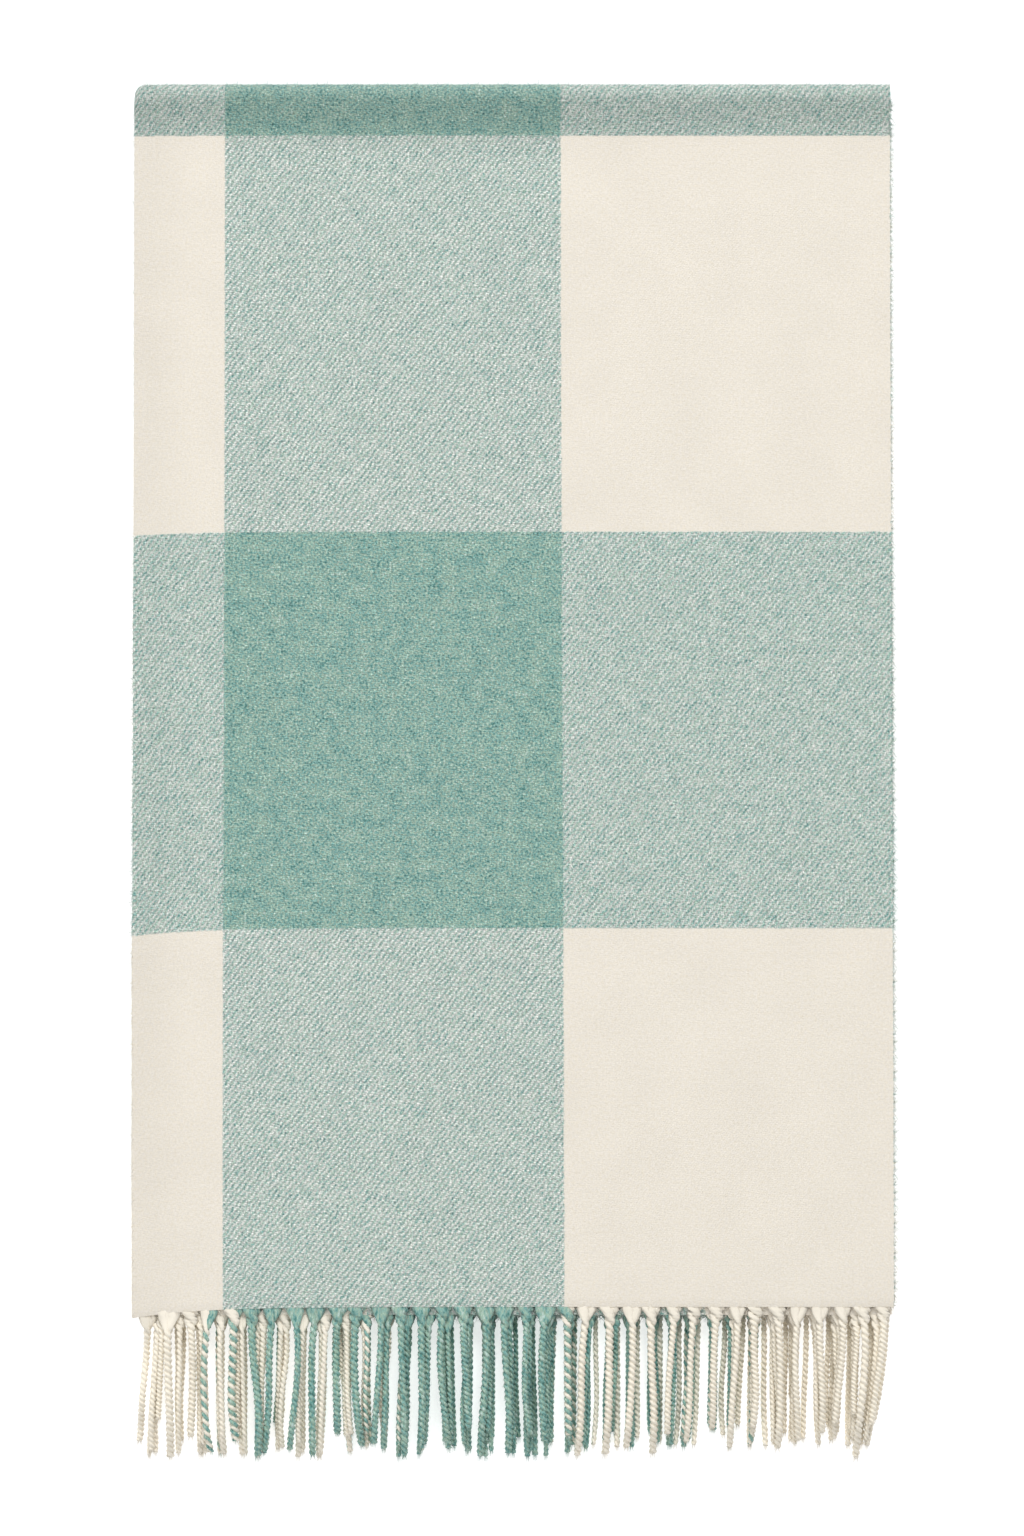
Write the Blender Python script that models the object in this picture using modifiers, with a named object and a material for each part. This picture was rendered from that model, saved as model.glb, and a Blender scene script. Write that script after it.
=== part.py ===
"""A woven wool throw, folded in thirds across its width and then once in half along its length.

The cloth is one web with a twisted fringe at each end. Its six layers lie flat: +Z is up, +Y points at
the fold where the three thirds turn over together, and the fringes lie at -Y. The outer selvedge is on
the +X side. The origin is the bottom centre of the folded throw.
"""

import math

import bmesh
import bpy

# ---- driving dimensions, in metres ----
CREAM_STRIPE = 0.2185          # a full cream warp stripe of the check
TEAL_STRIPE = 0.2240           # a full teal warp stripe
EDGE_STRIPE = 0.1725           # the cream stripe at the inner selvedge
STRIPE_PAIRS = 3               # cream and teal pairs before the edge stripe
THIRDS = 3                     # layers in each half
FLAT_LENGTH = 1.622            # the web between its fringes, laid flat
CLOTH_THICKNESS = 0.0025       # one layer of brushed wool, uncompressed
CLEARANCE = 0.0003             # between neighbouring layers and pieces
FRINGE_LENGTH = 0.097          # from the web's end to the tassels' tips
FRINGE_ROOT = 0.004            # loose warp between the web's last pick and the first twist
TASSEL_PITCH = 0.0141
TASSEL_WIDTH = 0.0050
TASSEL_TIP = 0.0016            # bevel of a tassel's cut end
RIGHT_FOLD_SETBACK = 0.0015    # the right folds lie this far inside the outer selvedge
INNER_SELVEDGE_SETBACK = 0.004  # the inner selvedge lies this far inside the left folds
EDGE_ROUNDING = 0.0006         # of a panel's edges
FOLD_SEGMENTS = 12             # flats round each U-turn

# ---- sizes that follow ----
FLAT_WIDTH = STRIPE_PAIRS * (CREAM_STRIPE + TEAL_STRIPE) + EDGE_STRIPE
FOLDED_WIDTH = FLAT_WIDTH / THIRDS
LAYER_PITCH = CLOTH_THICKNESS + CLEARANCE
STACK_HEIGHT = 2 * THIRDS * LAYER_PITCH - CLEARANCE
TOP_BEND_RADIUS = STACK_HEIGHT / 2
TOP_BEND_MIDLINE = math.pi * (TOP_BEND_RADIUS - CLOTH_THICKNESS / 2)
PANEL_LENGTH = (FLAT_LENGTH - TOP_BEND_MIDLINE) / 2
SIDE_BEND_RADIUS = CLEARANCE / 2 + CLOTH_THICKNESS

FOLDED_LENGTH = FRINGE_LENGTH + PANEL_LENGTH + TOP_BEND_RADIUS
TIP_Y = -FOLDED_LENGTH / 2
WEB_END_Y = TIP_Y + FRINGE_LENGTH
TOP_CREASE_Y = WEB_END_Y + PANEL_LENGTH
MIDDLE_Z = STACK_HEIGHT / 2

LEFT_X = -FOLDED_WIDTH / 2
RIGHT_X = FOLDED_WIDTH / 2
RIGHT_FOLD_X = RIGHT_X - RIGHT_FOLD_SETBACK
INNER_SELVEDGE_X = LEFT_X + INNER_SELVEDGE_SETBACK

# ---- finishes: colour, roughness ----
CHECK_WOOL = ((0.56, 0.64, 0.58, 1.0), 0.95)
CREAM_WOOL = ((0.82, 0.76, 0.66, 1.0), 0.95)
TEAL_WOOL = ((0.24, 0.39, 0.33, 1.0), 0.95)

# Layers from the floor up: the half they belong to, and their third of the cloth.
LAYERS = [
    ("back", "outer"),
    ("back", "middle"),
    ("back", "inner"),
    ("front", "inner"),
    ("front", "middle"),
    ("front", "outer"),
]
THIRD_NUMBER = {"outer": 0, "middle": 1, "inner": 2}


def clear_scene():
    for item in list(bpy.data.objects):
        bpy.data.objects.remove(item, do_unlink=True)


def make_collection(name):
    collection = bpy.data.collections.new(name)
    bpy.context.scene.collection.children.link(collection)
    return collection


def give_material(item, finish):
    """A wool finish of the piece's own."""
    colour, roughness = finish
    material = bpy.data.materials.new(item.name + "_wool")
    material.use_nodes = True
    shader = material.node_tree.nodes["Principled BSDF"]
    shader.inputs["Base Color"].default_value = colour
    shader.inputs["Roughness"].default_value = roughness
    shader.inputs["Metallic"].default_value = 0.0
    item.data.materials.append(material)


def layer_bottom(layer):
    """Height of a layer's underside, counted from 0 at the floor."""
    return layer * LAYER_PITCH


def layer_number(half, third):
    return LAYERS.index((half, third))


# ---- panels ----

def panel_sides(third):
    """Where a third's flat stretch starts and ends across the throw."""
    after_left_fold = LEFT_X + SIDE_BEND_RADIUS + CLEARANCE
    before_right_fold = RIGHT_FOLD_X - SIDE_BEND_RADIUS - CLEARANCE
    return {
        "outer": (after_left_fold, RIGHT_X),
        "middle": (after_left_fold, before_right_fold),
        "inner": (INNER_SELVEDGE_X, before_right_fold),
    }[third]


def add_panel(collection, half, third):
    """One flat layer of cloth, from the fringe to the top fold."""
    start, end = panel_sides(third)
    length = PANEL_LENGTH - CLEARANCE
    shape = bmesh.new()
    bmesh.ops.create_cube(shape, size=1.0)
    bmesh.ops.scale(shape, vec=(end - start, length, CLOTH_THICKNESS), verts=shape.verts)
    mesh = bpy.data.meshes.new(half + "_" + third + "_panel")
    shape.to_mesh(mesh)
    shape.free()
    panel = bpy.data.objects.new(mesh.name, mesh)
    bottom = layer_bottom(layer_number(half, third))
    panel.location = ((start + end) / 2, WEB_END_Y + length / 2, bottom + CLOTH_THICKNESS / 2)
    rounding = panel.modifiers.new("rounded edges", "BEVEL")
    rounding.width = EDGE_ROUNDING
    rounding.segments = 2
    collection.objects.link(panel)
    give_material(panel, CHECK_WOOL)
    return panel


# ---- folds ----

def u_turn_outline(outer_radius):
    """A half ring of cloth as a closed 2D outline that bulges towards +X."""
    inner_radius = outer_radius - CLOTH_THICKNESS
    angles = [math.pi * (step / FOLD_SEGMENTS - 0.5) for step in range(FOLD_SEGMENTS + 1)]
    outside = [(outer_radius * math.cos(angle), outer_radius * math.sin(angle)) for angle in angles]
    inside = [(inner_radius * math.cos(angle), inner_radius * math.sin(angle)) for angle in angles]
    return outside + inside[::-1]


def add_outline(collection, name, points, thickness, finish):
    """A flat outline given a thickness, centred on the plane that it is drawn in."""
    curve = bpy.data.curves.new(name, "CURVE")
    curve.dimensions = "2D"
    curve.fill_mode = "BOTH"
    curve.extrude = thickness / 2
    spline = curve.splines.new("POLY")
    spline.points.add(len(points) - 1)
    for spot, (x, y) in zip(spline.points, points):
        spot.co = (x, y, 0.0, 1.0)
    spline.use_cyclic_u = True
    piece = bpy.data.objects.new(name, curve)
    collection.objects.link(piece)
    give_material(piece, finish)
    return piece


def add_side_fold(collection, half, side):
    """The U-turn along a side, between the two thirds that it joins."""
    thirds = ("outer", "middle") if side == "left" else ("middle", "inner")
    lower = min(layer_number(half, third) for third in thirds)
    middle = layer_bottom(lower) + CLOTH_THICKNESS + CLEARANCE / 2
    length = PANEL_LENGTH - CLEARANCE
    name = half + "_" + side + "_fold"
    fold = add_outline(collection, name, u_turn_outline(SIDE_BEND_RADIUS), length, CHECK_WOOL)
    crease_y = WEB_END_Y + length / 2
    if side == "left":
        fold.location = (LEFT_X + SIDE_BEND_RADIUS, crease_y, middle)
        fold.rotation_euler = (math.pi / 2, math.pi, 0)
    else:
        fold.location = (RIGHT_FOLD_X - SIDE_BEND_RADIUS, crease_y, middle)
        fold.rotation_euler = (math.pi / 2, 0, 0)
    return fold


def add_top_fold(collection, third):
    """The U-turn over the top crease, nested inside the one before it."""
    outer_radius = TOP_BEND_RADIUS - THIRD_NUMBER[third] * LAYER_PITCH
    start, end = {
        "outer": (LEFT_X, RIGHT_X),
        "middle": (LEFT_X, RIGHT_FOLD_X),
        "inner": (INNER_SELVEDGE_X, RIGHT_FOLD_X),
    }[third]
    outline = u_turn_outline(outer_radius)
    fold = add_outline(collection, "top_fold_" + third, outline, end - start, CHECK_WOOL)
    fold.location = ((start + end) / 2, TOP_CREASE_Y, MIDDLE_Z)
    fold.rotation_euler = (math.pi / 2, 0, math.pi / 2)
    return fold


# ---- fringe ----

def warp_stripes():
    """The cream and teal warp stripes, from the outer selvedge across the flat cloth."""
    edge = 0.0
    stripes = []
    for _ in range(STRIPE_PAIRS):
        stripes.append(("cream", edge, edge + CREAM_STRIPE))
        stripes.append(("teal", edge + CREAM_STRIPE, edge + CREAM_STRIPE + TEAL_STRIPE))
        edge += CREAM_STRIPE + TEAL_STRIPE
    stripes.append(("cream", edge, edge + EDGE_STRIPE))
    return stripes


def place_across(third, distance):
    """Where a point of the flat cloth, measured from the outer selvedge, lies once folded."""
    along_third = distance - THIRD_NUMBER[third] * FOLDED_WIDTH
    if third == "middle":
        return LEFT_X + along_third
    return RIGHT_X - along_third


def fringe_sections(third):
    """The colour and the sides of each stretch of tassels on one layer, from left to right."""
    limits = {
        "outer": (LEFT_X, RIGHT_X),
        "middle": (LEFT_X, RIGHT_FOLD_X),
        "inner": (INNER_SELVEDGE_X, RIGHT_FOLD_X),
    }[third]
    sections = []
    for colour, start, end in warp_stripes():
        sides = sorted((place_across(third, start), place_across(third, end)))
        left = max(sides[0], limits[0])
        right = min(sides[1], limits[1])
        if right - left > TASSEL_PITCH:
            sections.append((colour, left, right))
    return sorted(sections, key=lambda section: section[1])


def comb_outline(width):
    """Tassels hanging from a short root strip, drawn with the strip's top edge on y = 0."""
    tassels = max(1, int(width / TASSEL_PITCH))
    pitch = width / tassels
    half = TASSEL_WIDTH / 2
    tip = -FRINGE_LENGTH + CLEARANCE
    points = [(width / 2, 0.0), (-width / 2, 0.0), (-width / 2, -FRINGE_ROOT)]
    for number in range(tassels):
        middle = -width / 2 + (number + 0.5) * pitch
        points.append((middle - half, -FRINGE_ROOT))
        points.append((middle - half, tip + TASSEL_TIP))
        points.append((middle - half + TASSEL_TIP, tip))
        points.append((middle + half - TASSEL_TIP, tip))
        points.append((middle + half, tip + TASSEL_TIP))
        points.append((middle + half, -FRINGE_ROOT))
    points.append((width / 2, -FRINGE_ROOT))
    return points


def add_fringe(collection, half, third):
    """One layer's row of twisted tassels, a piece for each warp stripe."""
    bottom = layer_bottom(layer_number(half, third))
    seen = 0
    for colour, left, right in fringe_sections(third):
        if colour == "teal":
            name = half + "_" + third + "_fringe_teal"
        else:
            name = half + "_" + third + "_fringe_cream_" + ("left", "right")[seen]
            seen += 1
        finish = TEAL_WOOL if colour == "teal" else CREAM_WOOL
        outline = comb_outline(right - left - CLEARANCE)
        comb = add_outline(collection, name, outline, CLOTH_THICKNESS, finish)
        root_y = WEB_END_Y - CLEARANCE
        comb.location = ((left + right) / 2, root_y, bottom + CLOTH_THICKNESS / 2)


def hinge_on_top_crease(collection, pieces):
    """Parents the front half to an empty on the top crease, which it swings about."""
    crease = bpy.data.objects.new("top_crease", None)
    crease.location = (0.0, TOP_CREASE_Y, MIDDLE_Z)
    collection.objects.link(crease)
    bpy.context.view_layer.update()
    for piece in pieces:
        piece.parent = crease
        piece.matrix_parent_inverse = crease.matrix_world.inverted()


def main():
    clear_scene()
    throw = make_collection("folded_throw")
    for half, third in LAYERS:
        add_panel(throw, half, third)
        add_fringe(throw, half, third)
    for half in ("back", "front"):
        for side in ("left", "right"):
            add_side_fold(throw, half, side)
    for third in THIRD_NUMBER:
        add_top_fold(throw, third)
    front_half = [item for item in throw.objects if item.name.startswith("front_")]
    hinge_on_top_crease(throw, front_half)


main()
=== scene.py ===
# %% [markdown]
# # A folded wool throw
#
# The real thing is one woven cloth, 1.5 m wide and 1.6 m long, with a twisted fringe at each end. It is
# folded in thirds across its width and once in half along its length, so six layers lie under each
# other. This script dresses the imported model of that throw: it reads where every layer lies, lays three
# long strips of cloth along that route, hangs the tassels on their ends and gives both a wool finish.

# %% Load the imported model
import math
import random

import bmesh
import bpy
import numpy as np
from mathutils import Matrix, Vector, noise


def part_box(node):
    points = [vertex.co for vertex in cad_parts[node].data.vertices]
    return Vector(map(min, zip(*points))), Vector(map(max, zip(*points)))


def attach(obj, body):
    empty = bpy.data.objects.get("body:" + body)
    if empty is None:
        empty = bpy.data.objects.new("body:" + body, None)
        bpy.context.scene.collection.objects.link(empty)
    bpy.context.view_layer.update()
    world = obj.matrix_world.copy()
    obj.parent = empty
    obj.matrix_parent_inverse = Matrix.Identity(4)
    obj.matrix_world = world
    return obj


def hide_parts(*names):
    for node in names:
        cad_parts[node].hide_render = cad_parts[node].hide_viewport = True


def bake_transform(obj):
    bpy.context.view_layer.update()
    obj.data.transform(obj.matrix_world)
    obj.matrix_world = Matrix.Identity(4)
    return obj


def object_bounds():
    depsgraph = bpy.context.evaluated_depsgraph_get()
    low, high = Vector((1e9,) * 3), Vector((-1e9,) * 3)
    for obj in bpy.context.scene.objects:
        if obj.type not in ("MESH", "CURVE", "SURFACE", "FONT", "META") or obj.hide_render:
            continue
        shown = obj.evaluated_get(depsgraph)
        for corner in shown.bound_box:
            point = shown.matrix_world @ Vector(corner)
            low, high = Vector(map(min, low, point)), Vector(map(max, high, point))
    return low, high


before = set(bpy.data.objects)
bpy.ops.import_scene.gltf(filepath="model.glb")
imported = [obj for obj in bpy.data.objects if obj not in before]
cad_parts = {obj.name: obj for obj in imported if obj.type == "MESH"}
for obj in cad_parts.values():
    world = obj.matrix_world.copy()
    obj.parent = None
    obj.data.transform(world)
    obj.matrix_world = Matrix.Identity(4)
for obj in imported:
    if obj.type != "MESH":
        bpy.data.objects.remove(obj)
cad_low, cad_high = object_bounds()
print("packed model", [round(side, 4) for side in cad_high - cad_low], "m")

# %% [markdown]
# ## Where the cloth lies
#
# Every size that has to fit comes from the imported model: the side folds, the top crease, the height of
# each layer. The cloth's own facts, such as its stripes, belong to the weave and are written here.

# %% Places read from the model
LEFT = cad_low.x
RIGHT = cad_high.x
MIDDLE_Z = (cad_low.z + cad_high.z) / 2
CREASE_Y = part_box("top_fold_outer")[0].y
WEB_END_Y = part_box("front_outer_panel")[0].y
TIP_Y = cad_low.y
RIGHT_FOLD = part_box("front_right_fold")[1].x
INNER_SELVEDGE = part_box("front_inner_panel")[0].x


def layer_middle(node):
    """How far a layer's middle lies from the middle of the stack."""
    low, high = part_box(node)
    return abs((low.z + high.z) / 2 - MIDDLE_Z)


OFFSET = {third: layer_middle(f"front_{third}_panel") for third in ("outer", "middle", "inner")}
LAYER_PITCH = OFFSET["outer"] - OFFSET["middle"]
TURN_RADIUS = LAYER_PITCH / 2
print("layers", {third: round(1000 * offset, 2) for third, offset in OFFSET.items()}, "mm off the middle")

# %% The cloth's own sizes
CREAM_STRIPE = 0.2185
TEAL_STRIPE = 0.2240
STRIPE_PERIOD = CREAM_STRIPE + TEAL_STRIPE
FIRST_BAND = 0.2510
BAND = 0.2625
FLAT_WIDTH = 1.500
FLAT_LENGTH = 1.622
WARP_SPACING = 0.00100
WEFT_SPACING = 0.001233
THICKNESS = 0.0023
ABOVE_FLOOR = 0.0001
SOFT_EDGE = 0.0008
SHARP_ANGLE = 55
TASSEL_PITCH = 0.0141
print("check repeats every", round(STRIPE_PERIOD, 4), "by", round(2 * BAND, 4), "m")

# %% [markdown]
# ## Camera, floor and light
#
# The throw lies on a pale studio floor and is seen from straight above, through a long lens so that its
# sides don't lean. Wide soft lamps keep the shadows faint. The stronger one stands beyond the top fold,
# and its low light is what lets the fold and the weave read.

# %% Camera above the throw
camera_data = bpy.data.cameras.new("camera")
camera_data.lens = 100
camera_data.sensor_width = 36
camera = bpy.data.objects.new("camera", camera_data)
bpy.context.scene.collection.objects.link(camera)
VIEW_HEIGHT_M = 1.0173
VIEW_CENTRE = (-0.0005, 0.0014)
camera_distance = VIEW_HEIGHT_M * camera_data.lens / camera_data.sensor_width
camera.location = (*VIEW_CENTRE, camera_distance + cad_high.z)
bpy.context.scene.camera = camera
print("camera", round(camera_distance, 2), "m above the throw")

# %% A value that can be used in arithmetic


class Value:
    """A node's output socket. Arithmetic on it adds Math nodes to the finish that it belongs to."""

    def __init__(self, finish, socket):
        self.finish = finish
        self.socket = socket

    def math(self, operation, *others):
        numbers = [self, *others]
        keys = ("Value", "Value_001", "Value_002")
        return self.finish.add("ShaderNodeMath", {"operation": operation}, dict(zip(keys, numbers)))

    def __add__(self, other):
        return self.math("ADD", other)

    def __mul__(self, other):
        return self.math("MULTIPLY", other)

    def __sub__(self, other):
        return self.math("SUBTRACT", other)

    def __truediv__(self, other):
        return self.math("DIVIDE", other)

    def __mod__(self, other):
        return self.math("FLOORED_MODULO", other)

    def __lt__(self, other):
        return self.math("LESS_THAN", other)

    def __rsub__(self, other):
        return (self * -1.0) + other

    __radd__ = __add__
    __rmul__ = __mul__


# %% A finish and its nodes


class Finish:
    """A material with one Principled shader. Every other node comes from add()."""

    def __init__(self, name, **uniform):
        self.material = bpy.data.materials.new(name)
        self.material.use_nodes = True
        self.tree = self.material.node_tree
        self.shader = self.tree.nodes["Principled BSDF"]
        for socket, value in uniform.items():
            self.shader.inputs[socket.replace("_", " ")].default_value = value

    def add(self, kind, settings, inputs, output=None):
        node = self.tree.nodes.new(kind)
        for setting, value in settings.items():
            if setting == "stops":
                self.set_stops(node.color_ramp, value)
            else:
                setattr(node, setting, value)
        for key, value in inputs.items():
            socket = next(slot for slot in node.inputs if key in (slot.identifier, slot.name))
            self.feed(socket, value)
        shown = [slot for slot in node.outputs if slot.enabled]
        chosen = shown[0] if output is None else next(slot for slot in shown if slot.name == output)
        return Value(self, chosen)

    def set_stops(self, ramp, stops):
        while len(ramp.elements) < len(stops):
            ramp.elements.new(0.5)
        for element, (position, colour) in zip(ramp.elements, stops):
            element.position = position
            element.color = (*colour, 1.0)

    def feed(self, socket, value):
        if isinstance(value, Value):
            self.tree.links.new(value.socket, socket)
        else:
            socket.default_value = value

    def grain(self, where, size, detail=2.0, output="Fac"):
        """Noise whose grains are about size metres across."""
        inputs = {"Vector": where, "Scale": 1.0 / size, "Detail": detail}
        return self.add("ShaderNodeTexNoise", {}, inputs, output)

    def mix(self, first, second, share, blend="MIX"):
        settings = {"data_type": "RGBA", "blend_type": blend}
        inputs = {"Factor_Float": share, "A_Color": first, "B_Color": second}
        return self.add("ShaderNodeMix", settings, inputs)

    def part_of(self, vector, axis):
        """One coordinate of a vector."""
        return self.add("ShaderNodeSeparateXYZ", {}, {"Vector": vector}, axis)

    def shaded(self, colour, shade):
        """A colour made lighter or darker."""
        grey = self.add("ShaderNodeCombineXYZ", {}, {"X": shade, "Y": shade, "Z": shade})
        return self.mix(colour, grey, 1.0, "MULTIPLY")

    def fade(self, value, start, end):
        """0 before start, 1 after end, smooth between them."""
        inputs = {"Value": value, "From Min": start, "From Max": end}
        return self.add("ShaderNodeMapRange", {"interpolation_type": "SMOOTHSTEP"}, inputs)

    def wear(self, colour, bump_height, bump_depth):
        """Colours the shader and raises its surface."""
        self.feed(self.shader.inputs["Base Color"], colour)
        settings = {"Height": bump_height, "Distance": bump_depth, "Strength": 1.0}
        self.feed(self.shader.inputs["Normal"], self.add("ShaderNodeBump", {}, settings))
        return self.material


# %% Pale floor
FLOOR_HALF = 6.0
floor_shape = bmesh.new()
bmesh.ops.create_grid(floor_shape, x_segments=1, y_segments=1, size=FLOOR_HALF)
floor_mesh = bpy.data.meshes.new("floor")
floor_shape.to_mesh(floor_mesh)
floor_shape.free()
floor = bpy.data.objects.new("floor", floor_mesh)
bpy.context.scene.collection.objects.link(floor)
floor_finish = Finish("floor_white", Base_Color=(0.7, 0.7, 0.7, 1), Roughness=0.9,
                      Emission_Color=(1, 1, 1, 1), Emission_Strength=0.62)
floor_mesh.materials.append(floor_finish.material)

# %% Soft lamps
LAMP_SIZE = 3.0
world = bpy.data.worlds.new("studio")
world.use_nodes = True
world.node_tree.nodes["Background"].inputs["Color"].default_value = (1.0, 1.0, 1.0, 1.0)
world.node_tree.nodes["Background"].inputs["Strength"].default_value = 0.50
bpy.context.scene.world = world
bpy.context.scene.view_settings.view_transform = "Standard"


def soft_lamp(name, place, power):
    """A square studio lamp turned towards the throw."""
    data = bpy.data.lights.new(name, "AREA")
    data.size = LAMP_SIZE
    data.energy = power
    lamp = bpy.data.objects.new(name, data)
    lamp.location = place
    lamp.rotation_euler = (-Vector(place)).to_track_quat("-Z", "Y").to_euler()
    bpy.context.scene.collection.objects.link(lamp)


soft_lamp("key_lamp", (0.8, 7.4, 5.4), 520)
soft_lamp("fill_lamp", (-2.4, -2.8, 4.0), 62)
print("floor and lamps set")

# %% [markdown]
# ## The folded cloth
#
# A real throw is one sheet. Its six pressed layers are laid by rule here, and not simulated: each third
# of the cloth is a flat grid, cut to size by one operator, and every point of it is then laid where the
# fold takes it, along the upper half, round the top crease, back along the lower half, and round the
# side fold at its edge. The strip keeps its own flat coordinates as a UV map in metres, so the check and
# the twill follow the cloth wherever it turns.

# %% Stations along a strip


def stations(length, coarse, fine, spots, reach):
    """Distances from 0 to length, coarse apart, and only fine apart within reach of each spot."""
    probe = np.linspace(0.0, length, 4000)
    density = np.full(len(probe), 1.0 / coarse)
    for spot in spots:
        density += (1.0 / fine - 1.0 / coarse) * np.exp(-(((probe - spot) / reach) ** 4))
    passed = np.concatenate([[0.0], np.cumsum((density[1:] + density[:-1]) / 2 * np.diff(probe))])
    steps = int(round(passed[-1]))
    return np.interp(np.linspace(0.0, passed[-1], steps + 1), passed, probe)


def smooth(share):
    share = min(1.0, max(0.0, share))
    return share * share * (3 - 2 * share)


# %% How far each layer's end reaches
END_Y = {
    "outer": WEB_END_Y,
    "middle": WEB_END_Y - 0.0056,
    "inner": WEB_END_Y - 0.0068,
}
LEFT_END_DROP = 0.0075
LEFT_END_REACH = 0.042
TAIL = 0.004
CLOTH_GAP = 0.0004
SKEW = 0.0026
LEFT_SPREAD = 0.0018


def lean(y):
    """0 at the top crease and 1 at the fringe."""
    return smooth((CREASE_Y - y) / (CREASE_Y - WEB_END_Y))


def side_edges(y):
    """The throw's left fold, outer selvedge and right fold at a distance along it."""
    wave = 0.0005 * noise.noise(Vector((0.0, 14 * y, 3.7)))
    left = LEFT - LEFT_SPREAD * lean(y) + wave
    right = RIGHT + SKEW * lean(y) + 0.6 * wave
    right_fold = RIGHT_FOLD + 0.8 * SKEW * lean(y) - wave
    return left, right, right_fold


# %% The route across the throw


def third_route(third, y):
    """Start, direction, turning point and end of a third's way across the throw."""
    left, right, right_fold = side_edges(y)
    if third == "outer":
        return right, -1, left + TURN_RADIUS
    if third == "middle":
        return left + TURN_RADIUS + TAIL + CLOTH_GAP, 1, right_fold - TURN_RADIUS
    return right_fold - TURN_RADIUS - TAIL - CLOTH_GAP, -1, left + INNER_SELVEDGE - LEFT


def third_width(third, y):
    start, _, turn = third_route(third, y)
    flat = abs(turn - start)
    return flat if third == "inner" else flat + math.pi * TURN_RADIUS + TAIL


def across(third, distance, y):
    """x, and how far from the middle of the stack, at a distance along a third's width."""
    start, direction, turn = third_route(third, y)
    flat = abs(turn - start)
    if distance <= flat or third == "inner":
        return start + direction * distance, OFFSET[third]
    arc = math.pi * TURN_RADIUS
    if distance <= flat + arc:
        angle = (distance - flat) / TURN_RADIUS
        x = turn + direction * TURN_RADIUS * math.sin(angle)
        return x, OFFSET[third] - TURN_RADIUS * (1 - math.cos(angle))
    return turn - direction * (distance - flat - arc), OFFSET[third] - LAYER_PITCH


def cloth_start(third, y):
    """The flat cloth's own coordinate where a third begins."""
    before = {"outer": [], "middle": ["outer"], "inner": ["outer", "middle"]}[third]
    return sum(third_width(name, y) + CLOTH_GAP for name in before)


# %% The shape of the stack
PUFF = 0.0026
ROLL_REACH = 0.017
VALLEY_DEPTH = 0.16
VALLEY_PLACE = 0.042
VALLEY_REACH = 0.016
CORNER = 0.0064
CORNER_REACH = 0.012
CORNER_BEFORE_CREASE = 0.004
SWELL = 0.38


def bell(distance, reach):
    """1 at no distance, fading to 0 beyond reach on either side."""
    return math.exp(-((distance / reach) ** 2))


def pressed(distance, depth, reach):
    """How much thinner the stack is pressed at a distance from one of its edges."""
    return depth * math.exp(-max(0.0, distance) / reach)


def roll(distance):
    """How much of the top fold's puff is left at a distance from the crease."""
    return bell(distance, ROLL_REACH) - VALLEY_DEPTH * bell(distance - VALLEY_PLACE, VALLEY_REACH)


def stack_scale(x, y):
    """The stack is pressed thinner towards its sides and ends, and never lies quite flat."""
    left, right, _ = side_edges(min(y, CREASE_Y))
    thinner = pressed(x - left, 0.115, 0.018)
    thinner += pressed(right - x, 0.045, 0.030)
    thinner += pressed(y - WEB_END_Y, 0.050, 0.020)
    broad_wave = 0.024 * noise.noise(Vector((5.5 * x, 5.5 * y, 0.3)))
    small_wave = 0.008 * noise.noise(Vector((21 * x, 17 * y, 5.1)))
    return 1.0 - thinner + broad_wave + small_wave


def corner_cut(x):
    """How far the top corners draw in, as the folds there round off."""
    from_left = max(0.0, x - LEFT)
    if from_left >= CORNER:
        return 0.0
    return CORNER - math.sqrt(CORNER**2 - (CORNER - from_left) ** 2)


def lay(third, distance, along):
    """The place in the folded throw of a point of a third, from its distance across and along it."""
    front_end = END_Y[third]
    front = CREASE_Y - front_end
    arc = math.pi * (OFFSET[third] + PUFF / 2)
    if along <= front:
        y = front_end + along
        x, offset = across(third, distance, y)
        if third == "outer":
            drop = LEFT_END_DROP * math.exp(-max(0.0, x - LEFT) / LEFT_END_REACH)
            y -= drop * (1 - along / front)
        lift = PUFF * roll(CREASE_Y - y) * offset / OFFSET["outer"]
        z = MIDDLE_Z + offset + lift
    elif along <= front + arc:
        angle = math.pi * (along - front) / arc
        x, offset = across(third, distance, CREASE_Y)
        swell = 1 + SWELL * math.sin(angle)
        lift = PUFF * roll(0.0) * math.cos(angle / 2) ** 2 * offset / OFFSET["outer"]
        y = CREASE_Y + offset * swell * math.sin(angle)
        z = MIDDLE_Z + offset * math.cos(angle) + lift
    else:
        y = CREASE_Y - (along - front - arc)
        x, offset = across(third, distance, y)
        z = MIDDLE_Z - offset
    before_corner = max(0.0, CREASE_Y + CORNER_BEFORE_CREASE - y)
    y -= corner_cut(x) * bell(before_corner, CORNER_REACH)
    return Vector((x, y, z * stack_scale(x, y)))


# %% Cloth pulled out of square
SLIP_TOP = 0.0019
SLIP_END = -0.0022
SLIP_REACH = 0.12


def weave_slip(distance, y):
    """Handling has pulled the warp near the fold aside, one way at the crease and the other at the end."""
    slip = SLIP_TOP + (SLIP_END - SLIP_TOP) * lean(y)
    return slip * bell(distance - STRIPE_PERIOD, SLIP_REACH)


# %% Cut and lay a third
COARSE = 0.0062
FINE = 0.0011
SIDE_FOLD_REACH = 0.0035
TOP_FOLD_REACH = 0.030


def keep_mesh(shape, name, material):
    """Turns a bmesh into an object in the scene and frees it."""
    mesh = bpy.data.meshes.new(name)
    shape.to_mesh(mesh)
    shape.free()
    mesh.shade_smooth()
    mesh.materials.append(material)
    piece = bpy.data.objects.new(name, mesh)
    bpy.context.scene.collection.objects.link(piece)
    return piece


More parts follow.
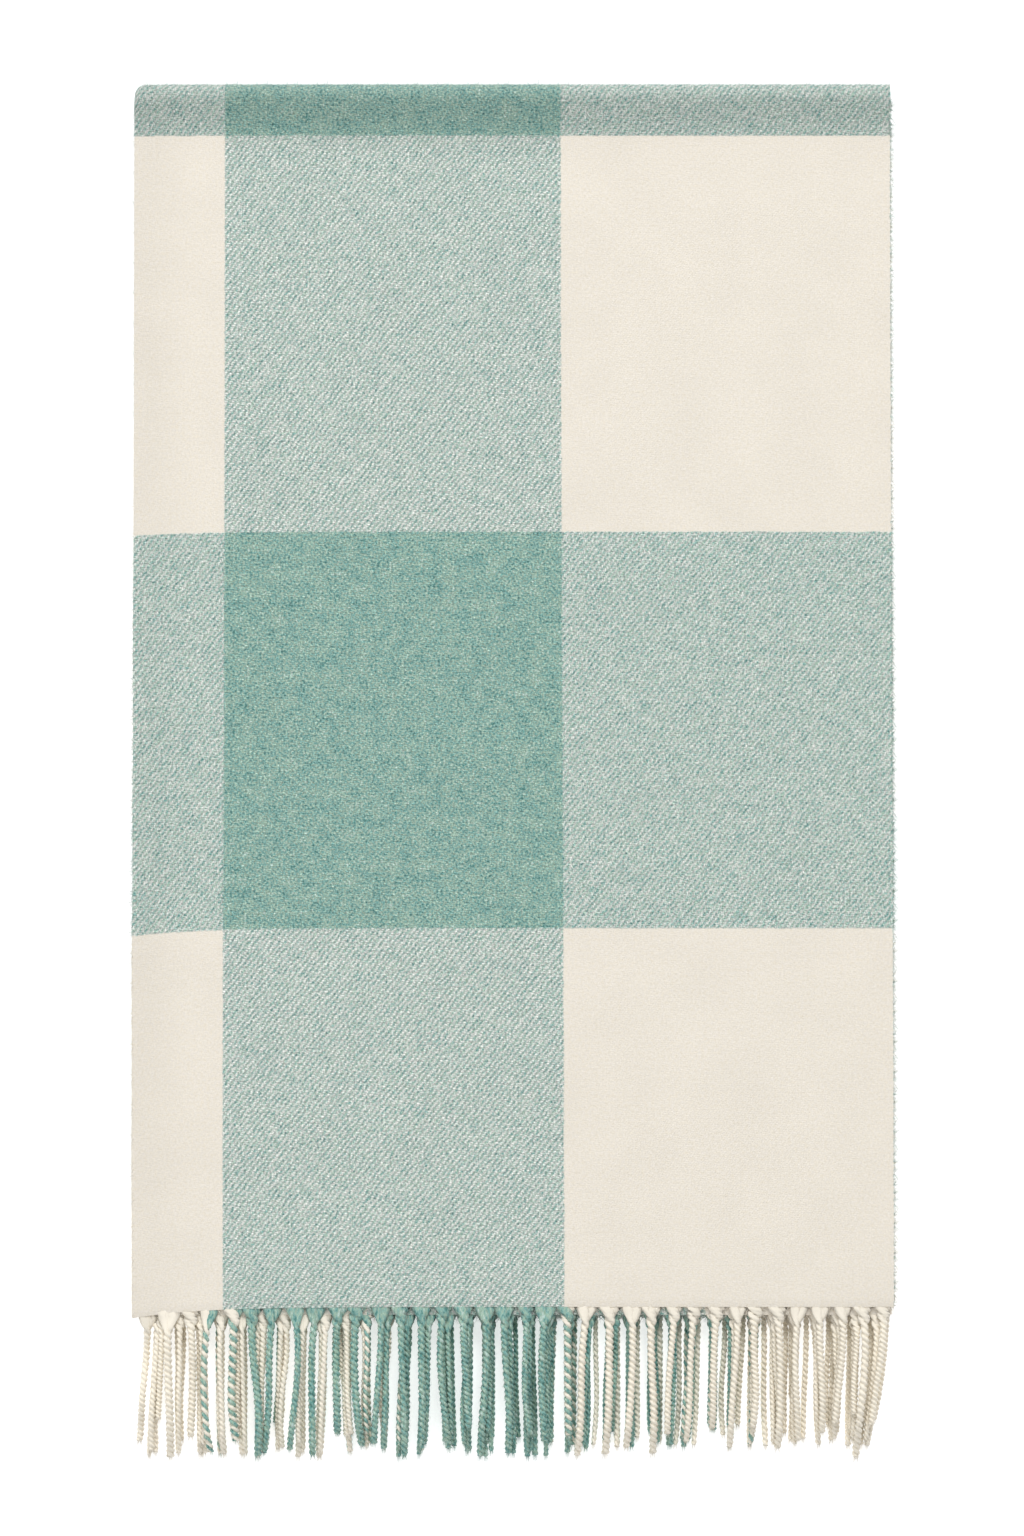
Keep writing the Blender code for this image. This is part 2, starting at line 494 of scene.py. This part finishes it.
def fold_third(third, material):
    """One third of the cloth: a flat grid, laid over the whole route of its layer."""
    width = third_width(third, 0.0)
    front = CREASE_Y - END_Y[third]
    top = front + math.pi * OFFSET[third] / 2
    turn = width - TAIL - math.pi * TURN_RADIUS / 2
    spots = [0.0] if third == "inner" else [turn, 0.0]
    columns = stations(width, COARSE, FINE / 2, spots, SIDE_FOLD_REACH)
    rows = stations(FLAT_LENGTH, COARSE, FINE, [top], TOP_FOLD_REACH)
    shape = bmesh.new()
    segments = {"x_segments": len(columns) - 1, "y_segments": len(rows) - 1}
    bmesh.ops.create_grid(shape, size=0.5, **segments)
    flat = shape.loops.layers.uv.new("cloth")
    placed = {}
    for point in shape.verts:
        column = int(round((point.co.x + 0.5) * segments["x_segments"]))
        row = int(round((point.co.y + 0.5) * segments["y_segments"]))
        y = max(END_Y[third], CREASE_Y - abs(front - rows[row]))
        distance = columns[column] / width * third_width(third, y)
        slip = weave_slip(distance, y) if third == "outer" else 0.0
        placed[point] = (cloth_start(third, y) + distance + slip, rows[row])
        point.co = lay(third, distance, rows[row])
    for face in shape.faces:
        for corner in face.loops:
            corner[flat].uv = placed[corner.vert]
    bmesh.ops.recalc_face_normals(shape, faces=shape.faces)
    piece = keep_mesh(shape, third + "_third", material)
    thicken(piece)
    print(piece.name, len(columns), "by", len(rows), "points")
    return piece


def thicken(piece):
    """Gives the cloth its thickness on both sides, and softens the cut edges."""
    body = piece.modifiers.new("thickness", "SOLIDIFY")
    body.thickness = THICKNESS
    body.offset = 0.0
    soft = piece.modifiers.new("soft edges", "BEVEL")
    soft.width = SOFT_EDGE
    soft.segments = 2
    soft.limit_method = "ANGLE"
    soft.angle_limit = math.radians(SHARP_ANGLE)


# %% [markdown]
# ## The wool
#
# The cloth is a 2/2 twill: each yarn passes over two and under two, one step further along in every row,
# which draws the diagonal lines. A picture of the weave would blur close by, so the finish works it out:
# it counts the yarn that a point lies on in both directions, sees which of the two is on top, and takes
# that yarn's colour. Noise then moves the yarns about, mixes in the heathered fibres and lays the nap.

# %% Wool colours
CREAM = (0.865, 0.806, 0.706)
CREAM_WARM = (0.850, 0.780, 0.660)
CREAM_COOL = (0.870, 0.815, 0.735)
TEAL_DEEP = (0.090, 0.270, 0.240)
TEAL_BLUE = (0.238, 0.472, 0.440)
TEAL = (0.320, 0.530, 0.460)
TEAL_GREEN = (0.400, 0.570, 0.440)
TEAL_PALE = (0.580, 0.750, 0.710)
CREAM_FELTED = (0.835, 0.868, 0.832)


def heather(wool, where, grain_size):
    """Teal yarn is spun from blue, green and pale fibres, so it never has one colour."""
    drift = wool.grain(where, grain_size, 4.0) + (wool.grain(where, 6 * grain_size, 2.0) - 0.5) * 0.34
    stops = [(0.32, TEAL_DEEP), (0.42, TEAL_BLUE), (0.50, TEAL), (0.58, TEAL_GREEN), (0.70, TEAL_PALE)]
    return wool.add("ShaderNodeValToRGB", {"stops": stops}, {"Fac": drift}, "Color")


def ivory(wool, where, grain_size):
    drift = wool.grain(where, grain_size, 3.0)
    stops = [(0.30, CREAM_WARM), (0.50, CREAM), (0.70, CREAM_COOL)]
    return wool.add("ShaderNodeValToRGB", {"stops": stops}, {"Fac": drift}, "Color")


# %% The check
FOLD_LINE = CREASE_Y - END_Y["outer"] + math.pi * (OFFSET["outer"] + PUFF / 2) / 2
FELTED_EDGE = 0.0006
RAGGED_EDGE = 0.0016
STRAY = 0.0034
STRAY_GRAIN = 0.0060
STRIPE_STRAY = 0.35
DRAWN_OUT = 0.16
YARN_GRAIN = 0.0014
NAP_GRAIN = 0.0015
FLECK_GRAIN = 0.0014
HEATHER_GRAIN = 0.0016
IVORY_GRAIN = 0.0022
PATCH_GRAIN = 0.0080
CLOUD_GRAIN = 0.0400
WEAVE_RELIEF = 0.00035


def centred_band(wool, distance, first_centre, period, width):
    """1 on a stripe that repeats every period, 0 between, with a slightly felted edge."""
    off_centre = ((distance + (period / 2 - first_centre)) % period - period / 2).math("ABSOLUTE")
    return wool.fade(off_centre, width / 2 + FELTED_EDGE, width / 2 - FELTED_EDGE)


def stretched(wool, where, scale):
    """Grain drawn out along one direction of the cloth, as yarns that are thick and thin in turn."""
    drawn = wool.add("ShaderNodeMapping", {}, {"Vector": where, "Scale": scale})
    return wool.grain(drawn, YARN_GRAIN, 3.0) - 0.5


def twill(warp, weft):
    """Whether the warp is on top, how high the upper yarn stands, and the diagonal lines, 0 to 1."""
    warp_number = warp.math("FLOOR")
    weft_number = weft.math("FLOOR")
    warp_on_top = (warp_number + weft_number) % 4.0 < 2.0
    warp_crown = ((warp - warp_number) * math.pi).math("SINE")
    weft_crown = ((weft - weft_number) * math.pi).math("SINE")
    crown = warp_crown * warp_on_top + weft_crown * (1 - warp_on_top)
    line = ((warp + weft - 1.0) * (math.pi / 2)).math("SINE") * 0.5 + 0.5
    return warp_on_top, crown, line


def warp_cover(wool, cloth, warp_on_top, line, nap):
    """How much of the colour is the warp's. Brushing mixes the two yarns, more in some patches."""
    patch = wool.grain(cloth, PATCH_GRAIN, 3.0)
    drawn_warp = stretched(wool, cloth, (1.0, DRAWN_OUT, 1.0))
    drawn_weft = stretched(wool, cloth, (DRAWN_OUT, 1.0, 1.0))
    woven = warp_on_top * 0.32 + line * 0.36 + 0.13
    return woven + (nap - 0.5) * 1.55 + (patch - 0.5) * 0.5 + drawn_warp - drawn_weft


def painted_fold_shade(wool, across_cloth, along_cloth, any_teal):
    """Painted shade along the folds: teal darker near the top crease, every colour a little darker by the
    side fold.
    """
    from_top_fold = (along_cloth - FOLD_LINE).math("ABSOLUTE")
    from_side_fold = (across_cloth - FLAT_WIDTH / 3).math("ABSOLUTE")
    # Painted shade: teal up to 22% darker near the top crease, all colours up to 5% darker near the side
    # fold.
    painted_crease_shade = wool.fade(from_top_fold, 0.055, 0.018)
    side_fold = wool.fade(from_side_fold, 0.042, 0.004)
    return (1 - painted_crease_shade * any_teal * 0.22) * (1 - side_fold * 0.05)


def check_wool():
    wool = Finish("check_wool", Roughness=0.92, Sheen_Weight=0.25, Sheen_Roughness=0.5)
    cloth = wool.add("ShaderNodeUVMap", {"uv_map": "cloth"}, {})
    across_cloth = wool.part_of(cloth, "X")
    along_cloth = wool.part_of(cloth, "Y")
    stray = wool.grain(cloth, STRAY_GRAIN, 4.0, "Color")
    stray_x = (wool.part_of(stray, "X") - 0.5) * STRAY
    stray_y = (wool.part_of(stray, "Y") - 0.5) * STRAY
    warp = (across_cloth + stray_x) / WARP_SPACING
    weft = (along_cloth + stray_y) / WEFT_SPACING
    warp_on_top, crown, line = twill(warp, weft)
    nap = wool.grain(cloth, NAP_GRAIN, 4.0)
    cover = warp_cover(wool, cloth, warp_on_top, line, nap)
    ragged = (nap - 0.5) * RAGGED_EDGE
    teal_warp = centred_band(wool, across_cloth + stray_x * STRIPE_STRAY + ragged,
                             CREAM_STRIPE + TEAL_STRIPE / 2, STRIPE_PERIOD, TEAL_STRIPE)
    teal_weft = centred_band(wool, along_cloth + stray_y * STRIPE_STRAY + ragged,
                             FIRST_BAND + BAND / 2, 2 * BAND, BAND)
    share = teal_warp * cover + teal_weft * (1 - cover)
    teal_share = share.math("MAXIMUM", 0.0).math("MINIMUM", 1.0)
    any_teal = teal_warp.math("MAXIMUM", teal_weft)
    teal = heather(wool, cloth, HEATHER_GRAIN)
    cream = wool.mix(ivory(wool, cloth, IVORY_GRAIN), (*CREAM_FELTED, 1.0), any_teal * 0.85)
    # Painted shade: the hollows between yarn crowns are darker, more on teal than on cream.
    painted_hollow_shade = 1 - (1 - crown) * (any_teal * 0.16 + 0.03)
    fleck = (wool.grain(cloth, FLECK_GRAIN, 4.0) - 0.5) * (any_teal * 1.80 + 0.30) + 1.03
    cloud = (wool.grain(cloth, CLOUD_GRAIN, 3.0) - 0.5) * 0.10 + 1.0
    # The shade is painted shade (hollows, folds) times random fleck and cloud tone.
    shade = painted_hollow_shade * fleck * cloud * painted_fold_shade(wool, across_cloth, along_cloth, any_teal)
    colour = wool.shaded(wool.mix(cream, teal, teal_share), shade)
    height = crown * (any_teal * 0.7 + 0.25) + nap * 0.6
    return wool.wear(colour, height, WEAVE_RELIEF)


check_material = check_wool()
print("check_wool", len(check_material.node_tree.nodes), "nodes")

# %% Lay the three thirds
sheets = {third: fold_third(third, check_material) for third in ("outer", "middle", "inner")}


# %% [markdown]
# ## Nap
#
# Brushing the wool raised a soft nap. On the face it only blurs the weave, which the finish does, but
# along the folds and edges single fibres stand out. They are made as short tufts, each a strip of fine
# cones, and copied along every edge, with the flat coordinates of the cloth that they grow from.

# %% A tuft of fibres
FIBRE_RADIUS = 0.00016
TUFT_WIDTH = 0.020
TUFT_FIBRES = 70


def add_fibre(shape, root, direction, length):
    """A fine tapering fibre from root along direction."""
    direction = direction.normalized()
    turn = direction.to_track_quat("Z", "Y").to_matrix().to_4x4()
    place = Matrix.Translation(root + direction * length / 2) @ turn
    bmesh.ops.create_cone(shape, cap_ends=True, segments=3, radius1=FIBRE_RADIUS,
                          radius2=FIBRE_RADIUS / 3, depth=length, matrix=place)


def make_tuft(seed):
    """Fibres along X from 0 to TUFT_WIDTH that stand out along Y."""
    chance = random.Random(seed)
    shape = bmesh.new()
    for _ in range(TUFT_FIBRES):
        root = Vector((chance.uniform(0, TUFT_WIDTH), -0.0004, chance.gauss(0, 0.0006)))
        aim = Vector((chance.gauss(0, 0.8), 1.0, chance.gauss(0, 0.3)))
        add_fibre(shape, root, aim, 0.0016 + chance.expovariate(1 / 0.0012))
    mesh = bpy.data.meshes.new("tuft")
    shape.to_mesh(mesh)
    shape.free()
    return mesh


tufts = [make_tuft(seed) for seed in range(5)]


def add_copy(shape, mesh):
    """Adds a copy of a mesh to a shape and returns its points."""
    before = len(shape.verts)
    shape.from_mesh(mesh)
    shape.verts.ensure_lookup_table()
    return shape.verts[before:]


# %% Grow the nap along a third's edges


def edge_runs(third):
    """A third's edges: the way out of the cloth, the tufts' places on it, and the way along the edge."""
    front = CREASE_Y - END_Y[third]
    fold_at = third_width(third, 0.0) - TAIL - math.pi * TURN_RADIUS / 2
    direction = Vector((third_route(third, 0.0)[1], 0, 0))
    over = np.arange(0.0, third_width(third, 0.0) - TUFT_WIDTH, TUFT_WIDTH)
    side = np.arange(0.0, FLAT_LENGTH - TUFT_WIDTH, TUFT_WIDTH)
    runs = [(Vector((0, -1, 0)), [(place, end) for place in over for end in (0.0, FLAT_LENGTH)], (1, 0))]
    if third == "outer":
        crest = front + math.pi * (OFFSET[third] + PUFF / 2) / 2
        runs.append((Vector((0, 1, 0)), [(place, crest) for place in over], (1, 0)))
        runs.append((-direction, [(0.0, place) for place in side], (0, 1)))
    far_edge = third_width(third, 0.0) if third == "inner" else fold_at
    runs.append((direction, [(far_edge, place) for place in side], (0, 1)))
    return runs


def half_at(third, along, step):
    """Which half a tuft grows on, or the top fold, or neither where it would straddle the bend."""
    front = CREASE_Y - END_Y[third]
    arc = math.pi * (OFFSET[third] + PUFF / 2)
    if along + step * TUFT_WIDTH < front:
        return "front"
    if along > front + arc:
        return "back"
    return None if step else "top"


def plant_tuft(shape, third, spot, outward, steps, flat_places):
    """Copies a tuft to a spot on a third's edge."""
    distance, along = spot
    for point in add_copy(shape, tufts[int(1000 * (distance + along)) % len(tufts)]):
        shift, out, up = point.co
        place = (distance + shift * steps[0], along + shift * steps[1])
        flat_places[point] = (cloth_start(third, 0.0) + place[0], place[1])
        point.co = lay(third, *place) + outward * out + Vector((0, 0, up))
        point.co.z = max(point.co.z, ABOVE_FLOOR)


def grow_nap(third, material):
    """The nap on a third's edges, as one piece for each half and one for the top fold."""
    shapes = {part: bmesh.new() for part in ("front", "back", "top")}
    flat_places = {}
    for outward, spots, steps in edge_runs(third):
        for spot in spots:
            part = half_at(third, spot[1], steps[1])
            if part:
                plant_tuft(shapes[part], third, spot, outward, steps, flat_places)
    pieces = {}
    for part, shape in shapes.items():
        flat = shape.loops.layers.uv.new("cloth")
        for face in shape.faces:
            for corner in face.loops:
                corner[flat].uv = flat_places[corner.vert]
        if shape.faces:
            pieces[part] = keep_mesh(shape, f"{part}_{third}_nap", material)
    return pieces


naps = {third: grow_nap(third, check_material) for third in sheets}
print("nap pieces", [piece.name for pieces in naps.values() for piece in pieces.values()])

# %% Bake the thirds in place and hand their nap to the halves


def ride_both_halves(third, piece):
    """Gathers the heights of a third's points on each half, which nothing uses, and bakes the third and its
    top-fold nap in place.
    """
    heights = {True: [], False: []}
    for corner, point in zip(piece.data.uv_layers["cloth"].data, piece.data.loops):
        place = piece.data.vertices[point.vertex_index].co
        if place.y < CREASE_Y - 0.003:
            heights[corner.uv.y < FLAT_LENGTH / 2].append(place.z)
    bending = [piece, *(nap for part, nap in naps[third].items() if part == "top")]
    for part in bending:
        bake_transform(part)


for third, piece in sheets.items():
    ride_both_halves(third, piece)
    for part, nap in naps[third].items():
        if part != "top":
            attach(nap, part + "_half")
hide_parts("front_outer_panel", "back_outer_panel", "front_left_fold", "back_left_fold",
            "top_fold_outer")
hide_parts("front_middle_panel", "back_middle_panel", "front_right_fold",
            "back_right_fold", "top_fold_middle")
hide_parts("front_inner_panel", "back_inner_panel", "top_fold_inner")

# %% [markdown]
# ## The fringe
#
# The warp goes on past the last weft, and bundles of it are twisted into two-ply tassels about 95 mm long.
# All six ends of the folded layers lie together, so the fringe is a heap of six rows. Each tassel is two
# plies, spun as a helix by one operator and then led along a path of its own. The rows are laid from the
# bottom up and every tassel rests on what lies under it. The top row is the fullest and rides over the
# others, which hang straighter and end a little shorter on the right.

# %% One straight ply
PLY_RADIUS = 0.00160
PLY_OFFSET = 0.52 * PLY_RADIUS
TURNS = 12
PLY_LENGTH = 0.095
PLY_FIBRES = 34
END_FIBRES = 8
RINGS_PER_TURN = 5


def straight_ply():
    """A ply wound round a tassel's middle line, along Z, with loose fibres on it and at its end."""
    chance = random.Random(3)
    rings = TURNS * RINGS_PER_TURN
    shape = bmesh.new()
    bmesh.ops.create_circle(shape, segments=6, radius=PLY_RADIUS)
    bmesh.ops.translate(shape, verts=shape.verts, vec=(PLY_OFFSET, 0, 0))
    bmesh.ops.spin(shape, geom=shape.verts[:] + shape.edges[:], axis=(0, 0, -1), cent=(0, 0, 0),
                   dvec=(0, 0, PLY_LENGTH / rings), angle=TURNS * math.tau, steps=rings)
    bmesh.ops.holes_fill(shape, edges=shape.edges, sides=0)
    bmesh.ops.recalc_face_normals(shape, faces=shape.faces)
    for _ in range(PLY_FIBRES):
        out = Vector((0, 1, 0))
        out.rotate(Matrix.Rotation(chance.uniform(0, math.tau), 3, "Z"))
        root = out * (PLY_OFFSET + 0.4 * PLY_RADIUS) + Vector((0, 0, chance.uniform(0.1, 1.0) * PLY_LENGTH))
        add_fibre(shape, root, out + Vector((0, 0, chance.gauss(0, 1.6))), chance.uniform(0.0012, 0.0028))
    for _ in range(END_FIBRES):
        spread = Vector((chance.gauss(0, 0.25), chance.gauss(0, 0.25), 1.0))
        root = Vector((PLY_OFFSET * spread.x, PLY_OFFSET * spread.y, PLY_LENGTH - 0.002))
        add_fibre(shape, root, spread, chance.uniform(0.003, 0.007))
    mesh = bpy.data.meshes.new("straight_ply")
    shape.to_mesh(mesh)
    shape.free()
    return mesh


ply_mesh = straight_ply()
print("one ply", len(ply_mesh.vertices), "points")


# %% Where a tassel leaves the cloth


def is_teal(distance):
    """Whether the warp is teal at a distance across the flat cloth."""
    return max(0.0, distance) % STRIPE_PERIOD > CREAM_STRIPE


def root_of(half, third, x):
    """Where a tassel leaves its layer, and where that is across the flat cloth."""
    start, direction, turn = third_route(third, WEB_END_Y)
    distance = min(max(direction * (x - start), 0.0), abs(turn - start))
    along = 0.0 if half == "front" else FLAT_LENGTH
    return lay(third, distance, along), cloth_start(third, WEB_END_Y) + distance


# %% How tassels rest on each other
STEPS = 24
HEAP_START = WEB_END_Y + 0.004
HEAP_END = TIP_Y - 0.012
TASSEL_RADIUS = PLY_RADIUS + PLY_OFFSET
CONTACT = 1.62 * TASSEL_RADIUS
LOWEST = 0.82 * TASSEL_RADIUS
SAG_LENGTH = 0.026
STIFF_ROOT = 0.010
HEAP_ROOM = 0.006
FAR_AWAY = 9.0
BENDING = (0.12, 0.23, 0.30, 0.23, 0.12)


class Heap:
    """The tassels laid so far: their x and z at fixed distances below the web's end."""

    def __init__(self):
        self.down = np.linspace(0.0, HEAP_START - HEAP_END, STEPS + 1)
        self.laid_x = np.empty((0, STEPS + 1))
        self.laid_z = np.empty((0, STEPS + 1))

    def y(self):
        return HEAP_START - self.down

    def rest(self, path_x, root, tip_y, bridge):
        """The lowest heights at which a tassel with this path lies clear of the ones below it.

        A tassel less than bridge beside a lower one rides over it and does not drop down between two.
        """
        support = np.full(STEPS + 1, LOWEST)
        if len(self.laid_x):
            apart = np.clip(np.abs(self.laid_x - path_x) - bridge, 0.0, None)
            lift = np.sqrt(np.clip(CONTACT**2 - apart**2, 0.0, None))
            over = np.where(apart < CONTACT, self.laid_z + lift, 0.0)
            support = np.maximum(support, over.max(axis=0))
        sag = np.clip((root.y - self.y()) / SAG_LENGTH, 0.0, 1.0)
        free_fall = root.z * (1 - sag * sag * (3 - 2 * sag))
        height = np.maximum(support, free_fall)
        padded = np.concatenate([[height[0]] * 2, height, [height[-1]] * 2])
        height = np.maximum(np.convolve(padded, BENDING, "valid"), LOWEST)
        near_root = np.clip((root.y - self.y()) / STIFF_ROOT, 0.0, 1.0)
        height = root.z + (height - root.z) * near_root * near_root * (3 - 2 * near_root)
        height = np.minimum(height, cad_high.z + HEAP_ROOM)
        inside = (self.y() < root.y) & (self.y() > tip_y)
        self.laid_x = np.vstack([self.laid_x, np.where(inside, path_x, FAR_AWAY)])
        self.laid_z = np.vstack([self.laid_z, height])
        return height


# %% Twist one tassel
FAN = 0.0155
FAN_WIDTH = 1.75
FAN_FLATNESS = 0.52
FRAYED_TIP = 0.006
LOOSE_TURNS = 0.07
BRIDGE = 0.0032
COMBED = 0.008
SLANT = 0.0022
BOW = 0.0014
SNAKE = 0.0007
LOWER_ROWS_LOOSE = 0.42
LEFT_SPLAY = 0.010
LEFT_SPLAY_REACH = 0.014
RIGHT_SPLAY = 0.004
RIGHT_SPLAY_REACH = 0.020


def tassel_path(heap, chance, root, tip_y, on_top):
    """x and z of a tassel's middle line at the heap's distances. Those at either side lean to the left."""
    loose = 1.0 if on_top else LOWER_ROWS_LOOSE
    share = np.clip((root.y - heap.y()) / (root.y - tip_y), 0.0, 1.05)
    combed = COMBED * noise.noise(Vector((45 * root.x, 1.7, 0.0)))
    splay = LEFT_SPLAY * math.exp(-(root.x - LEFT) / LEFT_SPLAY_REACH)
    splay += RIGHT_SPLAY * math.exp(-(RIGHT - root.x) / RIGHT_SPLAY_REACH)
    slant = chance.gauss(0, SLANT) * loose + combed - splay
    bow = chance.gauss(0, BOW) * loose
    snake = chance.gauss(0, SNAKE)
    path_x = root.x + slant * share**1.3 + bow * np.sin(math.pi * share) + snake * np.sin(math.tau * share)
    return path_x, heap.rest(path_x, root, tip_y, BRIDGE if on_top else 0.0)


def twist_ply(shape, side, root, tip_y, route, size, turn_start):
    """One of a tassel's plies. side is 1 or -1; route is the distances, x and z of the middle line."""
    down, path_x, path_z = route
    length = root.y - tip_y
    for point in add_copy(shape, ply_mesh):
        turned = max(0.0, point.co.z / PLY_LENGTH)
        share = (turned + LOOSE_TURNS * (1 - math.exp(-turned / 0.03))) / (1 + LOOSE_TURNS)
        distance = share * length
        fan = 1 - smooth(distance / FAN)
        frayed = smooth((distance - length) / FRAYED_TIP + 1)
        radial = Vector((point.co.x, point.co.y)) * side * size * (1 - 0.10 * frayed)
        radial = Matrix.Rotation(turn_start * (1 - fan), 2) @ radial
        lump = 1 + 0.10 * noise.noise(Vector((900 * root.x, 160 * distance, 3.0 * side)))
        y = root.y - distance
        at = HEAP_START - y
        x = float(np.interp(at, down, path_x)) + radial.x * lump * (1 + FAN_WIDTH * fan)
        z = float(np.interp(at, down, path_z)) + radial.y * lump * (1 - FAN_FLATNESS * fan)
        point.co = Vector((x, y, max(z, ABOVE_FLOOR)))


# %% Twist the six rows
TASSELS_PER_ROW = 36
ROW_PITCH = 0.988 * TASSEL_PITCH
GATHER = 0.80 * TASSEL_PITCH
ROW_ORDER = (("back", "outer"), ("back", "middle"), ("back", "inner"),
             ("front", "inner"), ("front", "middle"), ("front", "outer"))
ROW_SHIFT = dict(zip(ROW_ORDER, (0.0048, -0.0008, 0.0004, -0.0006, 0.0001, 0.0)))
ROW_DRIFT = {"outer": 0.0, "middle": 0.026, "inner": 0.021}
ALIGNED_X = 0.085
ROOT_TUCK = 0.0022
TIP_REACH = 0.0045
TIP_SPREAD = 0.008
SHORT_SHARE = 0.16
SHORTER = 0.014
LOWER_ROWS_SHORTER = 0.0065


def twist_row(heap, half, third, seed):
    """A row of tassels, as one shape for its cream plies and one for its teal plies."""
    chance = random.Random(seed)
    shapes = {"cream": bmesh.new(), "teal": bmesh.new()}
    right_edge = side_edges(WEB_END_Y)[1]
    on_top = (half, third) == ROW_ORDER[-1]
    for number in range(TASSELS_PER_ROW):
        x = right_edge - (number + 0.5) * ROW_PITCH + ROW_SHIFT[half, third]
        x += ROW_DRIFT[third] * (ALIGNED_X - x) + chance.gauss(0, 0.0006)
        root, flat_place = root_of(half, third, x)
        tip_y = TIP_Y - TIP_REACH + abs(chance.gauss(0, TIP_SPREAD))
        tip_y += SHORTER if chance.random() < SHORT_SHARE else 0.0
        if not on_top:
            tip_y += LOWER_ROWS_SHORTER * smooth((x - 0.020) / 0.040)
        root.y += ROOT_TUCK
        path_x, path_z = tassel_path(heap, chance, root, tip_y, on_top)
        size = chance.uniform(1.02, 1.28) if on_top else chance.uniform(0.80, 1.00)
        start = chance.uniform(0, math.tau)
        for side, reach in ((1, -GATHER), (-1, GATHER)):
            colour = "teal" if is_teal(flat_place + reach) else "cream"
            twist_ply(shapes[colour], side, root, tip_y, (heap.down, path_x, path_z), size, start)
    return shapes


def twisted_fringe(finishes):
    """The six rows, laid from the bottom up."""
    heap = Heap()
    rows = {}
    for order, (half, third) in enumerate(ROW_ORDER):
        for colour, shape in twist_row(heap, half, third, 40 + order).items():
            piece = keep_mesh(shape, f"{half}_{third}_tassels_{colour}", finishes[colour])
            rows[piece.name] = piece
    return rows


# %% [markdown]
# The tassels are the same wools, so they take the same heathered colours, with fibres that run along
# the twist.

# %% Tassel wool
CREAM_TWISTED = (0.98, 0.915, 0.785)
FIBRE_GRAIN = 0.0006
FIBRE_RELIEF = 0.00025


def tassel_wool(name, colouring):
    wool = Finish(name, Roughness=0.92, Sheen_Weight=0.25, Sheen_Roughness=0.5)
    place = wool.add("ShaderNodeTexCoord", {}, {}, "Object")
    drawn_out = wool.add("ShaderNodeMapping", {"vector_type": "POINT"},
                         {"Vector": place, "Rotation": (0, 0, 0.45), "Scale": (1.0, 0.32, 1.0)})
    from_cloth = WEB_END_Y - wool.part_of(place, "Y")
    # Painted shade: tassels are up to 7% darker near their roots, under the web's end.
    shade = wool.fade(from_cloth, 0.004, 0.016) * 0.07 + 0.93
    fibre = wool.grain(drawn_out, FIBRE_GRAIN, 2.0)
    return wool.wear(wool.shaded(colouring(wool, drawn_out), shade), fibre, FIBRE_RELIEF)


def cream_fibres(wool, where):
    return wool.mix(ivory(wool, where, 0.004), (*CREAM_TWISTED, 1.0), 0.85)


def teal_fibres(wool, where):
    fleck = wool.grain(where, 0.0005, 2.0)
    return wool.shaded(heather(wool, where, HEATHER_GRAIN), (fleck - 0.5) * 0.9 + 0.94)


tassel_finishes = {
    "cream": tassel_wool("cream_tassel_wool", cream_fibres),
    "teal": tassel_wool("teal_tassel_wool", teal_fibres),
}
tassels = twisted_fringe(tassel_finishes)

# %% Hand the tassels to their halves
for half, third in ROW_ORDER:
    comb = f"{half}_{third}_fringe_"
    cream = tassels[f"{half}_{third}_tassels_cream"]
    teal = tassels[f"{half}_{third}_tassels_teal"]
    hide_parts(comb + "cream_left", comb + "cream_right")
    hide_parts(comb + "teal")
    for piece, slot in ((cream, "cream_tassels"), (teal, "teal_tassels")):
        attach(piece, half + "_half")
print(len(tassels), "tassel pieces", sum(len(piece.data.polygons) for piece in tassels.values()), "faces")
